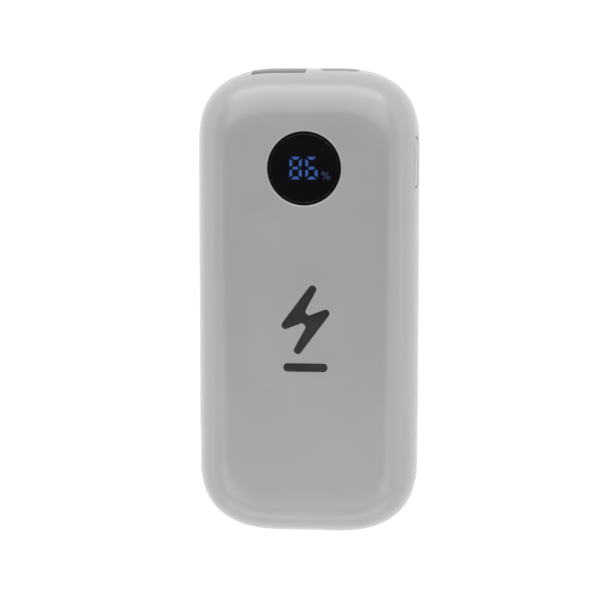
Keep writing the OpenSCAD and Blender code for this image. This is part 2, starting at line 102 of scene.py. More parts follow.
# The window's seat in the front shell, and the window with its stepped border.
SEAT_GAP = 0.1
SEAT_LIP = 0.45
SEAT_RING = 1.1
SEAT_LEDGE = 1.1
SEAT_DEEPER = 0.2
APERTURE_SPREAD = 3
LENS_STEP = (0.5, 0.25)
LENS_EDGE = 0.1
LENS_FOOT = 0.15
LENS_BORDER_BEVEL = 0.05

# The sockets: half width and half height of each cut-out, the middle of each, and their sheet metal.
SHEET = 0.3
USB_A_CUT = (6.6, 2.65)
USB_A_MID = (USB_A_LO + USB_A_HI) / 2
USB_C_CUT = (4.7, 1.8)
USB_C_HALF = (4.47, 1.58)
USB_C_MID = Vector(((USB_C_LO.x + USB_C_HI.x) / 2, 0, USB_C_HI.z - USB_C_HALF[1]))

# The button: half length and half height of its face, of its slot, and its middle.
BUTTON_HALF = (6.1, 1.55)
BUTTON_CUT = (BUTTON_HALF[0] + 0.2, BUTTON_HALF[1] + 0.2)
BUTTON_MID = Vector((BUTTON_HI.x, (BUTTON_LO.y + BUTTON_HI.y) / 2, BUTTON_HI.z - BUTTON_HALF[1]))


# ---- The casing's surface ----


def roll_at(rise):
    """How far the sides have rolled in, from 0 to 1, at a share rise of the half height."""
    return 1 - max(0.0, 1 - rise**RISE_POWER) ** (1 / ROLL_POWER)


def spans(height, inset):
    """Half width, half length and the corners' reaches at a height above the parting plane."""
    f = roll_at(min(1.0, abs(height) / (HALF_H - inset)))
    less = inset * INNER_ROLL_SHARE
    return (
        HALF_W - inset - f * (ROLL[0] - less),
        HALF_L - inset - f * (ROLL[1] - less),
        CORNER[0] - inset - f * (CORNER[0] - FACE_CORNER[0]),
        CORNER[1] - inset - f * (CORNER[1] - FACE_CORNER[1]),
    )


def on_outline(place, sizes):
    """The point of an outline at a place round it.

    A place is a kind of stretch, the two signs of its quarter, and either a share of the straight
    stretch or an angle round the corner.
    """
    kind, sx, sy, t = place
    a, b, rx, ry = sizes
    if kind == "side":
        return sx * a, t * (b - ry)
    if kind == "end":
        return t * (a - rx), sy * b
    e = 2 / CORNER_POWER
    return sx * (a - rx + rx * math.cos(t) ** e), sy * (b - ry + ry * math.sin(t) ** e)


def surface_point(place, height, inset):
    """The point of the casing's surface at a place round it and a height above the parting plane."""
    x, y = on_outline(place, spans(height, inset))
    return Vector((x, y, MID + height))


def corner_fall(share):
    """How far a corner curve has fallen, from 0 to 1, at a share of its reach."""
    return 1 - (1 - min(1.0, max(0.0, share)) ** CORNER_POWER) ** (1 / CORNER_POWER)


def end_point(x, height, inset):
    """The point of the socket end at a distance across the width and a height."""
    a, b, rx, ry = spans(height, inset)
    return Vector((x, b - ry * corner_fall((abs(x) - (a - rx)) / rx), MID + height))


def side_point(y, height, inset):
    """The point of the button's side at a distance along the length and a height."""
    a, b, rx, ry = spans(height, inset)
    return Vector((a - rx * corner_fall((abs(y) - (b - ry)) / ry), y, MID + height))


# ---- Meshes ----


class Sheet:
    """Points and faces of one piece, in millimetres, while it is being made."""

    def __init__(self):
        self.points = []
        self.faces = []

    def add(self, points):
        """Adds points and gives their numbers."""
        first = len(self.points)
        self.points.extend(points)
        return list(range(first, len(self.points)))

    def band(self, a, b, closed=True):
        """Quads between two rows of the same length."""
        n = len(a)
        for k in range(n if closed else n - 1):
            j = (k + 1) % n
            self.faces.append((a[k], a[j], b[j], b[k]))

    def bands(self, rows, closed=True):
        """Quads between each row and the next."""
        for a, b in zip(rows, rows[1:]):
            self.band(a, b, closed)

    def cap(self, ring):
        """One flat face that closes a ring."""
        self.faces.append(tuple(ring))

    def fan(self, ring, centre):
        """Triangles from a ring to one point."""
        c = self.add([centre])[0]
        for k in range(len(ring)):
            self.faces.append((ring[k], ring[(k + 1) % len(ring)], c))


# Points closer than this, in metres, are one point.
SAME_SPOT = 2e-8


def piece(name, sheet, material, body="casing", angle=35):
    """Makes the piece, with outward faces and smooth shading up to an angle, and puts it on its body.

    Points that fall on the same spot, as at the corners of a box, are made one.
    """
    mesh = bpy.data.meshes.new(name)
    mesh.from_pydata([p * MM for p in sheet.points], [], sheet.faces)
    work = bmesh.new()
    work.from_mesh(mesh)
    bmesh.ops.remove_doubles(work, verts=work.verts, dist=SAME_SPOT)
    bmesh.ops.recalc_face_normals(work, faces=work.faces)
    work.to_mesh(mesh)
    work.free()
    mesh.validate()
    mesh.shade_smooth()
    mesh.set_sharp_from_angle(angle=math.radians(angle))
    obj = bpy.data.objects.new(name, mesh)
    bpy.context.scene.collection.objects.link(obj)
    mesh.materials.append(material)
    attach(obj, body)
    return obj


# ---- Grid of the shells ----

# Steps of the roll-off, and stretches with a finer grid, as (low, high, step): heights, the end, the side.
ROW_STEPS = 46
FINE_ROWS = (0.2, 8.6, 0.3)
FINE_END = (-15.6, 14.2, 0.3)
FINE_SIDE = (27.0, 43.4, 0.35)


def spread(lo, hi, step):
    """Values from lo to hi, about a step apart."""
    n = max(1, round((hi - lo) / step))
    return [lo + (hi - lo) * i / n for i in range(n + 1)]


def row_heights():
    """Heights of the grid's rows: fine where the holes are, then by equal turns of the roll-off."""
    turns = [HALF_H * math.sin(math.pi / 2 * i / ROW_STEPS) ** (2 / RISE_POWER) for i in range(ROW_STEPS + 1)]
    return [PART_BEVEL] + spread(*FINE_ROWS) + [h for h in turns if h > FINE_ROWS[1] + 0.15]


def corner_place(x, y, sx, sy):
    """The place at the parting plane's outline with that x on an end, or that y on a side."""
    a, b, rx, ry = spans(0, 0)
    e = CORNER_POWER / 2
    if x is not None:
        if abs(x) <= a - rx:
            return ("end", sx, sy, x / (a - rx))
        return ("corner", math.copysign(1, x), sy, math.acos(((abs(x) - (a - rx)) / rx) ** e))
    if abs(y) <= b - ry:
        return ("side", sx, sy, y / (b - ry))
    return ("corner", sx, math.copysign(1, y), math.asin(((abs(y) - (b - ry)) / ry) ** e))


def columns():
    """Places round the outline, anticlockwise from the middle of the button's side."""
    quarter = math.pi / 2
    side_y = HALF_L - CORNER[1]
    low_y, high_y, step_y = FINE_SIDE
    low_x, high_x, step_x = FINE_END
    turned_y = corner_place(None, high_y, 1, 1)[3]
    right = corner_place(high_x, None, 1, 1)[3]
    left = corner_place(low_x, None, 1, 1)[3]
    places = [("side", 1, 1, y / side_y) for y in spread(0, low_y, 1.6)[:-1]]
    places += [corner_place(None, y, 1, 1) for y in spread(low_y, high_y, step_y)[:-1]]
    places += [("corner", 1, 1, t) for t in spread(turned_y, right, quarter / 44)[:-1]]
    places += [corner_place(x, None, 1, 1) for x in reversed(spread(low_x, high_x, step_x))]
    places += [("corner", -1, 1, t) for t in reversed(spread(0, left, quarter / 44)[:-1])]
    places += [("side", -1, 1, y / side_y) for y in reversed(spread(-side_y, side_y, 1.6)[1:-1])]
    places += [("corner", -1, -1, t) for t in spread(0, quarter, quarter / 40)]
    places += [("end", 1, -1, t) for t in spread(-1, 1, 0.2)[1:-1]]
    places += [("corner", 1, -1, t) for t in reversed(spread(0, quarter, quarter / 40))]
    places += [("side", 1, 1, y / side_y) for y in spread(-side_y, 0, 1.6)[1:-1]]
    return places


ROWS = row_heights()
PLACES = columns()


# ---- Holes through a shell ----

# How the rings round a hole are spaced, and each rim's corner radius, rounded width and rounded depth.
RING_SHARES = (0.35, 0.7)
RIM_MARGIN = 0.08
RIM_TURNS = (15, 30, 45, 60, 75, 90)
EDGE_TURNS = (22.5, 45, 67.5, 90)
USB_A_RIM = (0.7, 0.4, 0.95)
USB_C_RIM = (USB_C_CUT[1] - 0.01, 0.4, 0.8)
BUTTON_RIM = (BUTTON_CUT[1] - 0.01, 0.2, 0.2)

# The blocks of the grid that give way to the holes: the range of heights, and the range along.
USB_A_BLOCK = ((PART_BEVEL, 7.2), (-15.3, 1.2))
USB_C_BLOCK = ((0.2, 6.3), (1.2, 14.0))
BUTTON_BLOCK = ((1.7, 8.0), (27.2, 43.2))


def rounded_box(u, v, half_u, half_v, r):
    """Distance from a point to the edge of a rounded rectangle, less than 0 inside."""
    du, dv = abs(u) - half_u + r, abs(v) - half_v + r
    return math.hypot(max(du, 0), max(dv, 0)) + min(max(du, dv), 0) - r


class Hole:
    """A rounded rectangular hole whose middle is at (u, v) on the socket end or on the button's side.

    Its rim is rounded over a width, fillet, and a depth, sink.
    """

    def __init__(self, point, u, v, half_u, half_v, r, fillet, sink):
        self.point = point
        self.middle = (u, v)
        self.half = (half_u, half_v)
        self.r = r
        self.fillet = fillet
        self.sink = sink

    def toward(self, u, v, grow):
        """Where the line from the hole's middle towards (u, v) meets the hole's edge, grown outwards."""
        du, dv = u - self.middle[0], v - self.middle[1]
        scale = max(abs(du) / self.half[0], abs(dv) / self.half[1])
        du, dv = du / scale, dv / scale
        low, high = 0.0, 1.0 + 2 * grow / min(self.half)
        for _ in range(40):
            t = (low + high) / 2
            far = rounded_box(du * t, dv * t, *self.half, self.r) > grow
            low, high = (low, t) if far else (t, high)
        return self.middle[0] + du * low, self.middle[1] + dv * low


def hole_rings(sheet, edge, flat, hole, inset):
    """Rings from a block's edge to the hole's rim, on the surface that lies an inset inside the casing."""
    grown = [[hole.toward(u, v, g) for u, v in flat] for g in (hole.fillet + RIM_MARGIN, hole.fillet)]
    rings = [edge]
    for share in RING_SHARES:
        rings.append(sheet.add([
            hole.point(u + (gu - u) * share, v + (gv - v) * share, inset)
            for (u, v), (gu, gv) in zip(flat, grown[0])]))
    for ring in grown:
        rings.append(sheet.add([hole.point(u, v, inset) for u, v in ring]))
    return rings


def rim_rings(sheet, flat, hole, outward):
    """Rings of the rounded rim, from the casing's surface into the hole's wall."""
    rings = []
    for turn in RIM_TURNS:
        a = math.radians(turn)
        grow, sink = hole.fillet * (1 - math.sin(a)), hole.sink * (1 - math.cos(a))
        points = [hole.point(*hole.toward(u, v, grow), 0) - outward * sink for u, v in flat]
        rings.append(sheet.add(points))
    return rings


def block(rows, cols):
    """Numbers of the points round a block of the grid, and the cells inside it."""
    r0, r1 = rows
    c0, c1 = cols
    edge = [(r0, c) for c in range(c0, c1)] + [(r, c1) for r in range(r0, r1)]
    edge += [(r1, c) for c in range(c1, c0, -1)] + [(r, c0) for r in range(r1, r0, -1)]
    cells = {(r, c) for r in range(r0, r1) for c in range(c0, c1)}
    return edge, cells


def nearest(values, wanted):
    """The number of the value nearest to the wanted one."""
    return min(range(len(values)), key=lambda i: abs(values[i] - wanted))


# ---- Shells ----

# How far in from the end and from the side the columns that face them can lie.
END_DEPTH = 9
SIDE_DEPTH = 6


def grid_rows(sheet, inset, heights, sign):
    """One ring of points for each height."""
    rows = []
    for h in heights:
        ring = [surface_point(p, min(h, HALF_H - inset), inset) for p in PLACES]
        rows.append(sheet.add([Vector((p.x, p.y, MID + sign * (p.z - MID))) for p in ring]))
    return rows


def inner_heights(start):
    """Heights of the inner skin's rows, which start at the rim and end at the flat inside."""
    share = (HALF_H - WALL) / HALF_H
    return [max(start, h * share) + 0.0001 * i for i, h in enumerate(ROWS)][:-1] + [HALF_H - WALL]


def fill_grid(sheet, rows, gone):
    """Quads of the grid, apart from the cells that are gone."""
    n = len(PLACES)
    for r in range(len(rows) - 1):
        for c in range(n):
            if (r, c) not in gone:
                d = (c + 1) % n
                sheet.faces.append((rows[r][c], rows[r][d], rows[r + 1][d], rows[r + 1][c]))


def rim_ring(sheet, inset, height, sign):
    """A ring of the rim, at an inset from the parting plane's outline."""
    sizes = (HALF_W - inset, HALF_L - inset, CORNER[0] - inset, CORNER[1] - inset)
    flat = [on_outline(p, sizes) for p in PLACES]
    return sheet.add([Vector((x, y, MID + sign * height)) for x, y in flat])


def make_holes(sheet, holes, outer, inner):
    """Cuts each hole through both skins and gives the cells of the grid that give way."""
    gone = set()
    for hole, rows, cols, axis in holes:
        edge, cells = block(rows, cols)
        gone |= cells
        outward = Vector((0, 1, 0)) if axis == 0 else Vector((1, 0, 0))
        skins = []
        for grid, inset in ((outer, 0.0), (inner, WALL)):
            ring = [grid[r][c] for r, c in edge]
            flat = [(sheet.points[i][axis], sheet.points[i].z - MID) for i in ring]
            skins.append((ring, flat, inset))
        rings = hole_rings(sheet, skins[0][0], skins[0][1], hole, 0.0)
        rings += rim_rings(sheet, skins[0][1], hole, outward)
        inside = hole_rings(sheet, skins[1][0], skins[1][1], hole, WALL)
        foot = sheet.add([hole.point(*hole.toward(u, v, 0), WALL) for u, v in skins[0][1]])
        sheet.bands(rings + [foot] + inside[::-1])
    return gone


def seat_rings(sheet, ring, profile):
    """Rings round the window's axis, each (radius, height), in line with the points of a ring."""
    centre = (LENS_LO + LENS_HI) / 2
    ways = [(sheet.points[i].xy - centre.xy).normalized() for i in ring]
    rings = []
    for r, z in profile:
        rings.append(sheet.add([Vector((centre.x + w.x * r, centre.y + w.y * r, z)) for w in ways]))
    return rings


def front_holes(sheet, first_row):
    """The two socket cut-outs and the button's slot, each with its block of rows and columns."""
    xs = [sheet.points[i].x for i in first_row]
    ys = [sheet.points[i].y for i in first_row]
    at_end = [c for c in range(len(PLACES)) if ys[c] > HALF_L - END_DEPTH and xs[c] <= FINE_END[1] + 0.01]
    first = min(at_end)
    across = xs[first:first + len(spread(*FINE_END))]
    along = [y if x > HALF_W - SIDE_DEPTH else -1e3 for x, y in zip(xs, ys)]

    def rows(low, high):
        """The rows nearest to two heights."""
        return nearest(ROWS, low), nearest(ROWS, high)

    def end_columns(low, high):
        """The columns of the socket end nearest to two distances across; columns run towards -X."""
        return first + nearest(across, high), first + nearest(across, low)

    def side_columns(low, high):
        """The columns of the button's side nearest to two distances along."""
        return nearest(along, low), nearest(along, high)

    hole_a = Hole(end_point, USB_A_MID.x, USB_A_MID.z - MID, *USB_A_CUT, *USB_A_RIM)
    hole_c = Hole(end_point, USB_C_MID.x, USB_C_MID.z - MID, *USB_C_CUT, *USB_C_RIM)
    hole_b = Hole(side_point, BUTTON_MID.y, BUTTON_MID.z - MID, *BUTTON_CUT, *BUTTON_RIM)
    return [
        (hole_a, rows(*USB_A_BLOCK[0]), end_columns(*USB_A_BLOCK[1]), 0),
        (hole_c, rows(*USB_C_BLOCK[0]), end_columns(*USB_C_BLOCK[1]), 0),
        (hole_b, rows(*BUTTON_BLOCK[0]), side_columns(*BUTTON_BLOCK[1]), 1),
    ]


def seat_profile():
    """The window's seat from the face to the inside, as (radius, height): lip, wall, ledge, aperture."""
    seat_r = (LENS_HI.x - LENS_LO.x) / 2 + SEAT_GAP
    ledge = seat_r - SEAT_LEDGE
    floor_z = LENS_LO.z - SEAT_DEEPER
    profile = [(seat_r + SEAT_RING, TOP), (seat_r + SEAT_LIP, TOP)]
    for turn in EDGE_TURNS:
        a = math.radians(turn)
        profile.append((seat_r + SEAT_LIP * (1 - math.sin(a)), TOP - SEAT_LIP * (1 - math.cos(a))))
    profile += [(seat_r, floor_z), (ledge, floor_z)]
    return profile + [(ledge, TOP - WALL), (ledge + APERTURE_SPREAD, TOP - WALL)]


def front_shell(material):
    """Upper half of the casing, with the window's seat, the socket cut-outs and the button's slot."""
    sheet = Sheet()
    outer = grid_rows(sheet, 0.0, ROWS, 1)
    inner = grid_rows(sheet, WALL, inner_heights(REBATE_H), 1)
    gone = make_holes(sheet, front_holes(sheet, outer[0]), outer, inner)
    fill_grid(sheet, outer, gone)
    fill_grid(sheet, inner, gone)
    steps = ((PART_BEVEL, 0), (REBATE_INSET, 0), (REBATE_INSET, REBATE_H))
    rim = [rim_ring(sheet, i, h, 1) for i, h in steps]
    sheet.bands([outer[0]] + rim + [inner[0]])
    seat = seat_rings(sheet, outer[-1], seat_profile())
    sheet.bands([outer[-1]] + seat + [inner[-1]])
    obj = piece("casing_front", sheet, material)
    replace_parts(obj, "front_shell")
    return obj


def back_shell(material):
    """Lower half of the casing, with the tongue that stands up into the front shell."""
    sheet = Sheet()
    outer = grid_rows(sheet, 0.0, ROWS, -1)
    inner = grid_rows(sheet, WALL, inner_heights(0.0), -1)
    fill_grid(sheet, outer, set())
    fill_grid(sheet, inner, set())
    tongue = REBATE_INSET + TONGUE_GAP
    top = -(REBATE_H - TONGUE_GAP)
    steps = ((PART_BEVEL, 0), (tongue, 0), (tongue, top), (tongue + TONGUE_T, top))
    rim = [rim_ring(sheet, i, h, -1) for i, h in steps]
    sheet.bands([outer[0]] + rim + [inner[0]])
    sheet.cap(outer[-1])
    sheet.cap(inner[-1])
    obj = piece("casing_back", sheet, material)
    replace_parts(obj, "back_shell")
    return obj


# ---- Materials ----

NOISE_RANGE = (0.35, 0.65)
CASING_GREY = (0.25, 0.25, 0.25)
CASING_IOR = 1.65
WINDOW_CLEARNESS = 0.15


def nodes_of(name, color, roughness, metallic=0.0):
    """A material and its node tree, with a Principled shader set to plain values."""
    material = bpy.data.materials.new(name)
    material.use_nodes = True
    tree = material.node_tree
    shader = tree.nodes["Principled BSDF"]
    shader.inputs["Base Color"].default_value = (*color, 1)
    shader.inputs["Roughness"].default_value = roughness
    shader.inputs["Metallic"].default_value = metallic
    return material, tree, shader


def grain(tree, scale, detail=3.0, stretch=(1, 1, 1)):
    """Noise on object coordinates, scaled per metre, as a number from 0 to 1."""
    coords = tree.nodes.new("ShaderNodeTexCoord")
    mapping = tree.nodes.new("ShaderNodeMapping")
    noise = tree.nodes.new("ShaderNodeTexNoise")
    mapping.inputs["Scale"].default_value = [scale * s for s in stretch]
    noise.inputs["Scale"].default_value = 1.0
    noise.inputs["Detail"].default_value = detail
    tree.links.new(coords.outputs["Object"], mapping.inputs["Vector"])
    tree.links.new(mapping.outputs["Vector"], noise.inputs["Vector"])
    return noise.outputs["Fac"]


def spread_to(tree, value, low, high):
    """A noise value stretched to run from low to high."""
    ramp = tree.nodes.new("ShaderNodeMapRange")
    ramp.inputs["From Min"].default_value = NOISE_RANGE[0]
    ramp.inputs["From Max"].default_value = NOISE_RANGE[1]
    ramp.inputs["To Min"].default_value = low
    ramp.inputs["To Max"].default_value = high
    tree.links.new(value, ramp.inputs["Value"])
    return ramp.outputs["Result"]


def tint(tree, shader, value, dark, light):
    """Base colour that runs between two colours as a value goes from 0 to 1."""
    mix = tree.nodes.new("ShaderNodeMix")
    mix.data_type = "RGBA"
    mix.inputs["A"].default_value = (*dark, 1)
    mix.inputs["B"].default_value = (*light, 1)
    tree.links.new(value, mix.inputs["Factor"])
    tree.links.new(mix.outputs["Result"], shader.inputs["Base Color"])


def bump(tree, shader, value, strength, height):
    """A fine relief on the shader's normal, height in metres."""
    node = tree.nodes.new("ShaderNodeBump")
    node.inputs["Strength"].default_value = strength
    node.inputs["Distance"].default_value = height
    tree.links.new(value, node.inputs["Height"])
    tree.links.new(node.outputs["Normal"], shader.inputs["Normal"])


def finish_of(name, color, roughness, metallic=0.0, scale=900, vary=0.08, relief=0.00001, stretch=(1, 1, 1)):
    """A procedural finish: colour and roughness that vary with a grain, and a fine relief."""
    material, tree, shader = nodes_of(name, color, roughness, metallic)
    value = grain(tree, scale, 4.0, stretch)
    dark = [c * (1 - vary) for c in color]
    light = [min(1.0, c * (1 + vary)) for c in color]
    tint(tree, shader, spread_to(tree, value, 0, 1), dark, light)
    rough = spread_to(tree, grain(tree, scale * 0.3, 5.0, stretch), roughness * 0.85, roughness * 1.15)
    tree.links.new(rough, shader.inputs["Roughness"])
    if relief:
        bump(tree, shader, value, 0.3, relief)
    return material


def casing_plastic():
    """Polished pale grey plastic, with faint smudges from handling and a barely seen moulded ripple."""
    material, tree, shader = nodes_of("casing_plastic", CASING_GREY, 0.2)
    shader.inputs["IOR"].default_value = CASING_IOR
    smudge = grain(tree, 70, 6.0)
    dark = [c * 0.985 for c in CASING_GREY]
    light = [c * 1.015 for c in CASING_GREY]
    tint(tree, shader, spread_to(tree, smudge, 0, 1), dark, light)
    tree.links.new(spread_to(tree, smudge, 0.17, 0.24), shader.inputs["Roughness"])
    bump(tree, shader, grain(tree, 900, 2.0), 0.03, 0.000004)
    return material


def smoked_window():
    """Black smoked acrylic: glossy, and only a little of what is behind it shows through."""
    black = (0.0025, 0.0025, 0.003)
    material, tree, shader = nodes_of("smoked_window", black, 0.12)
    rough = spread_to(tree, grain(tree, 120, 5.0), 0.1, 0.16)
    tree.links.new(rough, shader.inputs["Roughness"])
    clear = tree.nodes.new("ShaderNodeBsdfTransparent")
    mix = tree.nodes.new("ShaderNodeMixShader")
    mix.inputs["Fac"].default_value = WINDOW_CLEARNESS
    tree.links.new(shader.outputs["BSDF"], mix.inputs[1])
    tree.links.new(clear.outputs["BSDF"], mix.inputs[2])
    tree.links.new(mix.outputs["Shader"], tree.nodes["Material Output"].inputs["Surface"])
    return material


def lit(name, color, strength):
    """A lit diffuser bar, a little uneven along its length."""
    material, tree, shader = nodes_of(name, [c * 0.2 for c in color], 0.5)
    shader.inputs["Emission Strength"].default_value = strength
    mix = tree.nodes.new("ShaderNodeMix")
    mix.data_type = "RGBA"
    mix.inputs["A"].default_value = (*[c * 0.8 for c in color], 1)
    mix.inputs["B"].default_value = (*color, 1)
    tree.links.new(spread_to(tree, grain(tree, 1200, 2.0), 0, 1), mix.inputs["Factor"])
    tree.links.new(mix.outputs["Result"], shader.inputs["Emission Color"])
    tree.links.new(spread_to(tree, grain(tree, 900), 0.4, 0.6), shader.inputs["Roughness"])
    return material


def soft_finishes():
    """Finishes of the foam, the plastics and the paper, by material slot."""
    board = (0.02, 0.12, 0.05)
    film = (0.03, 0.2, 0.35)
    foam = (0.011, 0.011, 0.011)
    return {
        "black_foam": finish_of("closed_cell_foam", foam, 0.95, scale=2500, vary=0.4, relief=0.00006),
        "black_plastic": finish_of("satin_black", (0.018, 0.018, 0.019), 0.42, scale=1500, vary=0.15),
        "red_insulation": finish_of("red_insulation", (0.5, 0.02, 0.02), 0.45, scale=700, vary=0.12),
        "circuit_board": finish_of("solder_mask", board, 0.35, scale=350, vary=0.25, stretch=(4, 1, 1)),
        "capacitor_body": finish_of("ceramic", (0.35, 0.22, 0.12), 0.5, scale=1400, vary=0.15),
        "ferrite": finish_of("ferrite", (0.05, 0.05, 0.052), 0.75, scale=1800, vary=0.3, relief=0.00003),
        "white_insulator": finish_of(
            "fibre_board", (0.78, 0.78, 0.75), 0.8, scale=1600, vary=0.06, relief=0.00002),
        "cell_sleeve": finish_of("shrink_film", film, 0.3, scale=300, vary=0.1, stretch=(3, 1, 3)),
    }


def metal_finishes():
    """Finishes of the metals, by material slot."""
    gold = (0.8, 0.58, 0.22)
    nickel = (0.62, 0.62, 0.63)
    copper = (0.6, 0.24, 0.09)
    tin = (0.68, 0.68, 0.7)
    return {
        "contact_metal": finish_of("gold_plate", gold, 0.22, 1.0, scale=1200, stretch=(4, 0.5, 1)),
        "sheet_metal": finish_of("nickel_plate", nickel, 0.28, 1.0, scale=800, stretch=(6, 0.4, 6)),
        "solder": finish_of("solder", tin, 0.3, 1.0, scale=1500, vary=0.1, relief=0.00002),
        "copper_wire": finish_of("enamelled_copper", copper, 0.25, 1.0, scale=900, stretch=(1, 1, 6)),
    }


def slot_finishes():
    """A finish for each of the record's material slots, apart from the casing and the window."""
    lights_by_slot = {
        "display_light": lit("lit_blue", (0.115, 0.31, 1.0), 15.0),
        "display_light_dim": lit("lit_dim", (0.2, 0.32, 0.75), 9.0),
    }
    return {**soft_finishes(), **metal_finishes(), **lights_by_slot}


def finish_nodes(finishes):
    slots = {part["node"]: part["material_slot"] for part in frame["record"]["subparts"]}
    for node, obj in frame["nodes"].items():
        if not obj.hide_render:
            obj.data.materials.clear()
            obj.data.materials.append(finishes[slots[node]])


# ---- Window, button and mark ----

# The ring just inside the window's rounded edge keeps the shading of its face flat.
FLAT_MARGIN = 0.05
BUTTON_FILLET = 0.35
BUTTON_TURNS = (18, 36, 54, 72, 90)
BUTTON_POINTS = 120
CAP_BACK = 1.9
FLANGE_X = (1.35, 2.15)
BOSS_HALF = 1.5
BOSS_BACK = 1.4
BOSS_H = 3


def lathe(sheet, centre, profile, steps=144):
    """A surface turned round a vertical axis, closed at both ends, from (radius, height) points."""
    turns = [2 * math.pi * k / steps for k in range(steps)]
    rings = []
    for r, z in profile:
        ring = [Vector((centre.x + r * math.cos(a), centre.y + r * math.sin(a), z)) for a in turns]
        rings.append(sheet.add(ring))
    sheet.bands(rings)
    sheet.cap(rings[0])
    sheet.cap(rings[-1])


def window(material):
    """Round window: a face with a rounded edge that stands proud of a narrow black border."""
    sheet = Sheet()
    r = (LENS_HI.x - LENS_LO.x) / 2
    top, foot = LENS_HI.z, LENS_LO.z
    face, step, edge = r - LENS_STEP[0], top - LENS_STEP[1], LENS_EDGE
    profile = [(r - LENS_FOOT, foot), (r, foot + LENS_FOOT)]
    profile += [(r, step - LENS_BORDER_BEVEL), (r - LENS_BORDER_BEVEL, step), (face, step)]
    for turn in (0, *EDGE_TURNS):
        a = math.radians(turn)
        profile.append((face - edge * (1 - math.cos(a)), top - edge * (1 - math.sin(a))))
    profile.append((face - edge - FLAT_MARGIN, top))
    lathe(sheet, (LENS_LO + LENS_HI) / 2, profile)
    obj = piece("window", sheet, material, angle=20)
    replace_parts(obj, "display_lens")
    return obj


def button_face(u, v, share):
    """A point of the button's face, a share of the way from its middle to (u, v)."""
    middle_u, middle_v = BUTTON_MID.y, BUTTON_MID.z - MID
    return side_point(middle_u + (u - middle_u) * share, middle_v * (1 - share) + v * share, 0)


def button_cap(material):
    """The cap that shows in the slot: its face follows the casing and its edge is rounded."""
    middle_u, middle_v = BUTTON_MID.y, BUTTON_MID.z - MID
    fillet = BUTTON_FILLET
    edge = Hole(side_point, middle_u, middle_v, *BUTTON_HALF, BUTTON_HALF[1] - 0.01, fillet, fillet)
    ways = [2 * math.pi * k / BUTTON_POINTS for k in range(BUTTON_POINTS)]
    reach_u, reach_v = BUTTON_HALF[0] * 2, BUTTON_HALF[1] * 2
    flat = [(middle_u + reach_u * math.cos(a), middle_v + reach_v * math.sin(a)) for a in ways]
    rim = [edge.toward(u, v, -fillet) for u, v in flat]
    sheet = Sheet()
    rings = [sheet.add([button_face(u, v, s) for u, v in rim]) for s in (0.25, 0.5, 0.75, 1.0)]
    for turn in BUTTON_TURNS:
        a = math.radians(turn)
        ring = [edge.toward(u, v, -fillet * (1 - math.sin(a))) for u, v in flat]
        sink = Vector((fillet * (1 - math.cos(a)), 0, 0))
        rings.append(sheet.add([side_point(u, v, 0) - sink for u, v in ring]))
    outer = [edge.toward(u, v, 0) for u, v in flat]
    rings.append(sheet.add([Vector((BUTTON_LO.x + CAP_BACK, u, MID + v)) for u, v in outer]))
    sheet.bands(rings)
    sheet.fan(rings[0], button_face(middle_u, middle_v, 0))
    sheet.cap(rings[-1])
    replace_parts(piece("button_cap", sheet, material, "button"), "power_button")


def button_flange(material):
    """The flange that keeps the button in its slot, and the boss that presses the switch."""
    sheet = Sheet()
    low = (BUTTON_LO.x + FLANGE_X[0], BUTTON_LO.y, BUTTON_MID.z - BUTTON_HALF[1])
    boxed(sheet, low, (BUTTON_LO.x + FLANGE_X[1], BUTTON_HI.y, BUTTON_HI.z), 0.12)
    low = (BUTTON_LO.x, BUTTON_MID.y - BOSS_HALF, BUTTON_LO.z)
    high = (BUTTON_LO.x + BOSS_BACK, BUTTON_MID.y + BOSS_HALF, BUTTON_LO.z + BOSS_H)
    boxed(sheet, low, high, 0.12)
    piece("button_flange", sheet, material, "button")


def boxed(sheet, lo, hi, r, steps=3):
    """A box with rounded edges, as rings along Z with quarter-round ends."""
    centre = [(a + b) / 2 for a, b in zip(lo, hi)]
    half = [(b - a) / 2 for a, b in zip(lo, hi)]
    arc = [math.radians(90 * i / steps) for i in range(steps + 1)]
    levels = [(math.sin(a), -half[2] + r * (1 - math.cos(a))) for a in arc]
    levels += [(math.sin(a), half[2] - r * (1 - math.cos(a))) for a in reversed(arc)]
    rings = []
    for share, z in levels:
        ring = []
        for sx, sy, start in ((1, 1, 0), (-1, 1, 90), (-1, -1, 180), (1, -1, 270)):
            for i in range(steps + 1):
                a = math.radians(start + 90 * i / steps)
                x = centre[0] + sx * (half[0] - r) + r * share * math.cos(a)
                y = centre[1] + sy * (half[1] - r) + r * share * math.sin(a)
                ring.append(Vector((x, y, centre[2] + z)))
        rings.append(sheet.add(ring))
    sheet.bands(rings)
    sheet.cap(rings[0])
    sheet.cap(rings[-1])


INK_FOOT = 0.002
INK = 0.02
BOLT = [(2.2, 8.6), (-5.4, -1.6), (-0.7, -1.6), (-2.4, -8.6), (5.4, 1.9), (0.7, 1.9)]
BOLT_MIDDLE = (0.4, -3.0)
BAR = ((-4.6, -15.4), (5.4, -14.2))


def rounded_corners(points, r, steps=6):
    """An outline with each corner replaced by an arc."""
    out = []
    for i, p in enumerate(points):
        p = Vector(p)
        before = (Vector(points[i - 1]) - p).normalized()
        after = (Vector(points[(i + 1) % len(points)]) - p).normalized()
        half = before.angle(after) / 2
        reach = r / math.tan(half)
        centre = p + (before + after).normalized() * (r / math.sin(half))
        a, b = p + before * reach - centre, p + after * reach - centre
        for k in range(steps + 1):
            out.append(centre + a.slerp(b, k / steps))
    return out


def plate(sheet, outline, low, high):
    """A thin flat plate with that outline."""
    rings = [sheet.add([Vector((p.x, p.y, z)) for p in outline]) for z in (low, high)]
    sheet.bands(rings)
    sheet.cap(rings[0])
    sheet.cap(rings[-1])


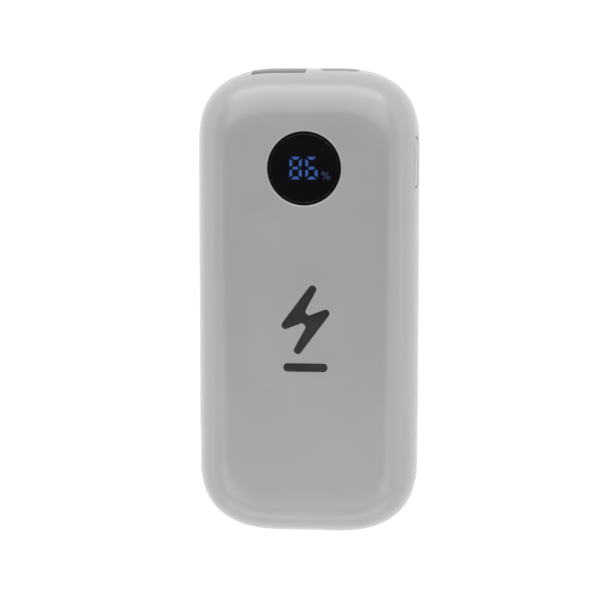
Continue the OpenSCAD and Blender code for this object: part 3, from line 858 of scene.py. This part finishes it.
def front_mark(material):
    """Printed mark on the face: a plain lightning bolt over a plain bar, as a thin film of ink."""
    sheet = Sheet()
    bolt = [(x + BOLT_MIDDLE[0], y + BOLT_MIDDLE[1]) for x, y in BOLT]
    (x0, y0), (x1, y1) = BAR
    bar = [(x0, y0), (x1, y0), (x1, y1), (x0, y1)]
    for outline, r in ((bolt, 0.25), (bar, 0.55)):
        plate(sheet, rounded_corners(outline, r), TOP + INK_FOOT, TOP + INK)
    piece("front_mark", sheet, material, angle=30)


# ---- Sockets ----

A_BLOCK_DEPTH = 3.3
A_TONGUE_HALF = 5.55
A_TONGUE_T = 1.84
A_PIN_XS = (-3.5, -1, 1, 3.5)
A_PIN_HALF = 0.55
C_BLOCK_DEPTH = 1.6
C_TONGUE_HALF = (3.345, 0.35)
C_PINS = 12
C_PIN_PITCH = 0.5
C_PIN_SIZE = (0.25, 0.05)
C_LEG_XS = (-2.6, 2.6)
C_LEG_YS = (1.5, 5)
C_LEG_SIZE = (0.8, 1, 0.15)


def loop(middle, half, less, r, y, steps=10):
    """A rounded rectangle in an XZ plane, smaller all round by less."""
    half_u, half_v, r = half[0] - less, half[1] - less, max(0.05, r - less)
    points = []
    for sx, sz, start in ((1, 1, 0), (-1, 1, 90), (-1, -1, 180), (1, -1, 270)):
        for i in range(steps + 1):
            a = math.radians(start + 90 * i / steps)
            u, v = sx * (half_u - r) + r * math.cos(a), sz * (half_v - r) + r * math.sin(a)
            points.append(Vector((middle.x + u, y, middle.z + v)))
    return points


def metal_shell(sheet, middle, half, r, back, front):
    """Folded sheet-metal socket shell with a rolled front edge, closed at the back."""
    rows = [(0.1, back), (0, back + 0.1), (0, front - SHEET / 2)]
    for turn in (30, 60, 90, 120, 150):
        a = math.radians(turn)
        rows.append((SHEET / 2 * (1 - math.cos(a)), front - SHEET / 2 * (1 - math.sin(a))))
    rows += [(SHEET, front - SHEET / 2), (SHEET, back + SHEET)]
    rings = [sheet.add(loop(middle, half, less, r, y)) for less, y in rows]
    sheet.bands(rings)
    sheet.cap(rings[0])
    sheet.cap(rings[-1])


def insert_base(sheet, middle, half, r, back, front):
    """Moulded block at the back of a socket, with softened edges."""
    rows = [(0.1, back), (0, back + 0.1), (0, front - 0.1), (0.1, front)]
    rings = [sheet.add(loop(middle, half, less, r, y)) for less, y in rows]
    sheet.bands(rings)
    sheet.cap(rings[0])
    sheet.cap(rings[-1])


def socket_a(metal, plastic, gold):
    """Wide socket: metal shell, and a tongue with four contacts under it."""
    half = (USB_A_HI - USB_A_LO) / 2
    shell = Sheet()
    metal_shell(shell, USB_A_MID, (half.x, half.z), 0.5, USB_A_LO.y, USB_A_HI.y)
    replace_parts(piece("usb_a_metal", shell, metal), "usb_a_shell")
    insert = Sheet()
    base = (TONGUE_A_HI - TONGUE_A_LO) / 2
    face = TONGUE_A_LO.y + A_BLOCK_DEPTH
    insert_base(insert, USB_A_MID, (base.x, base.z), 0.2, TONGUE_A_LO.y, face)
    low = (USB_A_MID.x - A_TONGUE_HALF, face - 0.5, PINS_A_HI.z)
    boxed(insert, low, (USB_A_MID.x + A_TONGUE_HALF, TONGUE_A_HI.y, PINS_A_HI.z + A_TONGUE_T), 0.2)
    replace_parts(piece("usb_a_insert", insert, plastic), "usb_a_tongue")
    pins = Sheet()
    for x in A_PIN_XS:
        low = (USB_A_MID.x + x - A_PIN_HALF, PINS_A_LO.y, PINS_A_LO.z)
        boxed(pins, low, (USB_A_MID.x + x + A_PIN_HALF, PINS_A_HI.y, PINS_A_HI.z), 0.05)
    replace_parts(piece("usb_a_pins", pins, gold), "usb_a_contacts")


def socket_c(metal, plastic, gold):
    """Oval socket: metal shell on four legs, and a thin tongue with contacts on both faces."""
    shell = Sheet()
    metal_shell(shell, USB_C_MID, USB_C_HALF, USB_C_HALF[1] - 0.01, USB_C_LO.y, USB_C_HI.y)
    width, length, sunk = C_LEG_SIZE
    leg_top = USB_C_MID.z - USB_C_HALF[1] + sunk
    for side in C_LEG_XS:
        for along in C_LEG_YS:
            low = (USB_C_MID.x + side - width / 2, USB_C_LO.y + along, USB_C_LO.z)
            high = (USB_C_MID.x + side + width / 2, USB_C_LO.y + along + length, leg_top)
            boxed(shell, low, high, 0.05)
    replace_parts(piece("usb_c_metal", shell, metal), "usb_c_shell")
    insert = Sheet()
    half = (USB_C_HALF[0] - SHEET - 0.05, USB_C_HALF[1] - SHEET - 0.05)
    face = TONGUE_C_LO.y + C_BLOCK_DEPTH
    insert_base(insert, USB_C_MID, half, half[1] - 0.01, TONGUE_C_LO.y, face)
    wide, thick = C_TONGUE_HALF
    low = (USB_C_MID.x - wide, face - 0.2, USB_C_MID.z - thick)
    boxed(insert, low, (USB_C_MID.x + wide, TONGUE_C_HI.y, USB_C_MID.z + thick), 0.15)
    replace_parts(piece("usb_c_insert", insert, plastic), "usb_c_tongue")
    pins = Sheet()
    pin_w, pin_t = C_PIN_SIZE
    for z in (USB_C_MID.z - thick - pin_t, USB_C_MID.z + thick):
        for i in range(C_PINS):
            x = USB_C_MID.x + (i - (C_PINS - 1) / 2) * C_PIN_PITCH
            boxed(pins, (x - pin_w / 2, PINS_C_LO.y, z), (x + pin_w / 2, PINS_C_HI.y, z + pin_t), 0.015, 2)
    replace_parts(piece("usb_c_pins", pins, gold), "usb_c_contacts")


# ---- Stage ----

CAMERA_DISTANCE = 480.0
CAMERA_DOWN = 5.7
CAMERA_SIDE = 6.71
AIM_X = -2.27
AIM_Y = 0.32
LENS = 114.5

# The wall's fade lists (sine of the elevation, share). A soft box has a name, place, size and radiance.
FLOOR_HALF = 2000
FLOOR_Z = -0.02
FLOOR_GLOW = 0.3
WALL_LIGHT = 1.8
WALL_FADE = [(0.0, 1.0), (0.2, 1.0), (0.5, 0.5), (0.75, 0.4), (0.92, 0.02)]
SOFT_BOXES = [
    ("socket_end_high", (0, 0.74, 0.67), (1.5, 1.3), 1.5),
    ("socket_end_low", (0, 0.9, 0.3), (1.5, 0.5), 0.6),
    ("far_end_high", (0, -0.55, 0.88), (1.6, 0.8), 1.0),
    ("far_end_low", (0, -0.9, 0.35), (1.5, 0.5), 0.6),
    ("right_corner", (0.65, -0.35, 0.7), (0.7, 0.6), 0.6),
    ("left_corner", (-0.65, -0.35, 0.7), (0.7, 0.6), 0.6),
]


def camera():
    """A camera high over the middle, leaning a little towards the sockets and the button."""
    cam = bpy.data.cameras.new("camera")
    cam.lens = LENS
    cam.sensor_width = 36
    obj = bpy.data.objects.new("camera", cam)
    bpy.context.scene.collection.objects.link(obj)
    across, along = math.radians(CAMERA_DOWN), math.radians(CAMERA_SIDE)
    back = Vector((math.sin(across) * math.cos(along), math.sin(along), math.cos(across) * math.cos(along)))
    up = (Vector((0, 1, 0)) - back * back.y).normalized()
    right = up.cross(back)
    middle = Vector((0, 0, MID))
    place = middle + back * CAMERA_DISTANCE + right * AIM_X + up * AIM_Y
    obj.matrix_world = Matrix((
        (right.x, up.x, back.x, place.x * MM),
        (right.y, up.y, back.y, place.y * MM),
        (right.z, up.z, back.z, place.z * MM),
        (0, 0, 0, 1)))
    cam.clip_start, cam.clip_end = 0.01, 10
    bpy.context.scene.camera = obj


def floor():
    """A plain white table, wide enough to fill every view, that glows a little and so keeps shadows pale."""
    corners = ((-1, -1), (1, -1), (1, 1), (-1, 1))
    points = [Vector((x * FLOOR_HALF, y * FLOOR_HALF, FLOOR_Z)) * MM for x, y in corners]
    mesh = bpy.data.meshes.new("floor")
    mesh.from_pydata(points, [], [(0, 1, 2, 3)])
    obj = bpy.data.objects.new("floor", mesh)
    bpy.context.scene.collection.objects.link(obj)
    white = finish_of("floor_acrylic", (0.8, 0.8, 0.8), 0.9, vary=0.005, relief=0)
    shader = white.node_tree.nodes["Principled BSDF"]
    shader.inputs["Specular IOR Level"].default_value = 0.0
    shader.inputs["Emission Color"].default_value = (1, 1, 1, 1)
    shader.inputs["Emission Strength"].default_value = FLOOR_GLOW
    mesh.materials.append(white)


def softbox(name, place, size, radiance):
    """A rectangular soft light that faces the object, with an even radiance."""
    light = bpy.data.lights.new(name, "AREA")
    light.shape = "RECTANGLE"
    light.size, light.size_y = size
    light.energy = math.pi * size[0] * size[1] * radiance
    obj = bpy.data.objects.new(name, light)
    bpy.context.scene.collection.objects.link(obj)
    obj.location = place
    obj.rotation_mode = "QUATERNION"
    obj.rotation_quaternion = (-Vector(place)).to_track_quat("-Z", "Y")


def wall_of_light():
    """A surround that is bright near the table and fades, by height, towards a dark ceiling."""
    world = bpy.data.worlds.new("surround")
    world.use_nodes = True
    tree = world.node_tree
    coords = tree.nodes.new("ShaderNodeTexCoord")
    split = tree.nodes.new("ShaderNodeSeparateXYZ")
    ramp = tree.nodes.new("ShaderNodeValToRGB")
    stops = ramp.color_ramp.elements
    stops.remove(stops[0])
    stops[0].position = WALL_FADE[0][0]
    for height, _ in WALL_FADE[1:]:
        stops.new(height)
    for stop, (_, share) in zip(stops, WALL_FADE):
        stop.color = (share, share, share, 1)
    background = tree.nodes["Background"]
    background.inputs["Strength"].default_value = WALL_LIGHT
    tree.links.new(coords.outputs["Generated"], split.inputs["Vector"])
    tree.links.new(split.outputs["Z"], ramp.inputs["Fac"])
    tree.links.new(ramp.outputs["Color"], background.inputs["Color"])
    bpy.context.scene.world = world


def main():
    """Builds every piece, finishes the carried CAD nodes and sets the stage."""
    plastic = casing_plastic()
    finishes = slot_finishes()
    front_shell(plastic)
    back_shell(plastic)
    button_cap(plastic)
    button_flange(plastic)
    window(smoked_window())
    front_mark(finish_of("ink", (0.011, 0.011, 0.011), 0.3, vary=0.1))
    insides = [finishes[slot] for slot in ("sheet_metal", "black_plastic", "contact_metal")]
    socket_a(*insides)
    socket_c(*insides)
    finish_nodes(finishes)
    camera()
    floor()
    wall_of_light()
    for box in SOFT_BOXES:
        softbox(*box)
    bpy.context.scene.view_settings.view_transform = "Standard"


main()
